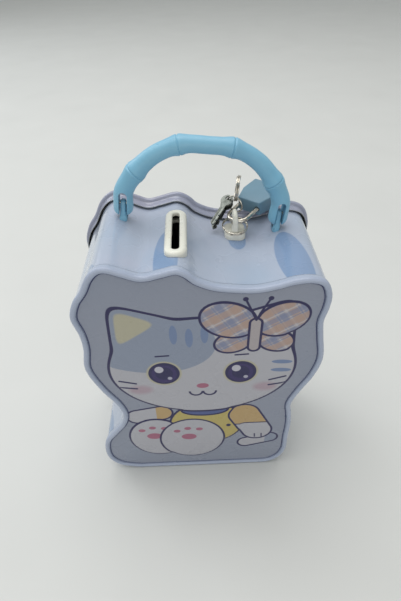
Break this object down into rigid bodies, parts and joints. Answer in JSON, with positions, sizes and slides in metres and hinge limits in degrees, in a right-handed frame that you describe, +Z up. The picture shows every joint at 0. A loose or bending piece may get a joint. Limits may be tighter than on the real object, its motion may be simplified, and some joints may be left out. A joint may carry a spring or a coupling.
{
  "type": "tin money box",
  "caption": "Wavy-sided tinplate money box with a top coin slot, hinged rear lid, folding carry handle, staple, padlock and keys.",
  "frame": {"origin": "middle of the front rim's flat foot, on the surface the box stands on", "axes": "+Z up, the printed front faces -Y, +X to the right as seen from the front"},
  "size_m": [0.1299, 0.0751, 0.2037],
  "materials": {
    "front_print": "lithographed tinplate, gloss varnish",
    "wall_print": "lithographed tinplate, gloss varnish",
    "lid_print": "lithographed tinplate, gloss varnish",
    "blue_plastic": "satin moulded polypropylene",
    "white_plastic": "warm white moulded plastic",
    "lock_plastic": "grey-blue moulded plastic",
    "steel": "bright nickel-plated steel",
    "key_metal": "dark tumbled steel"
  },
  "bodies": {
    "case": {"body_wall": "wall_print", "front_panel": "front_print", "slot_bezel": "white_plastic", "slot_retainer": "white_plastic", "handle_lug_left": "blue_plastic", "handle_lug_right": "blue_plastic", "lug_washer_left": "steel", "lug_washer_right": "steel", "lock_staple": "white_plastic", "staple_washer": "steel", "hinge_leaf_case": "steel", "hinge_pin": "steel"},
    "lid": {"rear_lid": "lid_print", "hinge_leaf_lid": "steel", "lid_ear": "white_plastic"},
    "handle": {"handle_grip": "blue_plastic", "handle_pin_left": "steel", "handle_pin_right": "steel"},
    "shackle": {"padlock_shackle": "steel"},
    "lock": {"padlock_body": "lock_plastic", "padlock_spring": "steel"},
    "key_plug": {"padlock_key_plug": "steel"},
    "loose_ring": {"staple_ring": "steel"},
    "link": {"link_ring": "steel"},
    "key_ring": {"split_ring": "steel"},
    "first_key": {"key_1": "key_metal"},
    "second_key": {"key_2": "key_metal"}
  },
  "joints": [
    {"name": "handle_swing", "type": "hinge", "parent": "case", "child": "handle", "pos_m": [0.0034, 0.0413, 0.16795], "axis": [0.9934, 0, -0.1146], "range_deg": [-45, 80]},
    {"name": "lid_open", "type": "hinge", "parent": "case", "child": "lid", "pos_m": [0, 0.052, 0.0027], "axis": [-1, 0, 0], "range_deg": [0, 90]},
    {"name": "padlock_swing", "type": "hinge", "parent": "case", "child": "shackle", "pos_m": [0.0188, 0.0412, 0.1602], "axis": [0.7771, -0.6293, 0], "range_deg": [0, 32]},
    {"name": "shackle_release", "type": "slide", "parent": "shackle", "child": "lock", "axis": [0.6259, 0.7729, 0.1045], "range_m": [0, 0.004]},
    {"name": "key_plug_turn", "type": "hinge", "parent": "lock", "child": "key_plug", "pos_m": [0.0411, 0.06588, 0.16369], "axis": [0.6259, 0.7729, 0.1045], "range_deg": [0, 90]},
    {"name": "loose_ring_turn", "type": "hinge", "parent": "case", "child": "loose_ring", "pos_m": [0.0198, 0.0423, 0.1563], "axis": [0, -0.1392, 0.9903], "continuous": true},
    {"name": "link_swing", "type": "hinge", "parent": "shackle", "child": "link", "pos_m": [0.0203, 0.05099, 0.1611], "axis": [0.6259, 0.7729, 0.1045], "range_deg": [0, 12]},
    {"name": "split_ring_swing", "type": "hinge", "parent": "link", "child": "key_ring", "pos_m": [0.02001, 0.05064, 0.16817], "axis": [0, 1, 0], "range_deg": [-20, 0]},
    {"name": "key_1_swing", "type": "hinge", "parent": "link", "child": "first_key", "pos_m": [0.01693, 0.05378, 0.16334], "axis": [-0.2646, -0.3781, 0.8872], "range_deg": [-4, 3]},
    {"name": "key_2_swing", "type": "hinge", "parent": "link", "child": "second_key", "pos_m": [0.0171, 0.05333, 0.16572], "axis": [-0.2684, -0.3485, 0.8981], "range_deg": [-4, 3]}
  ]
}
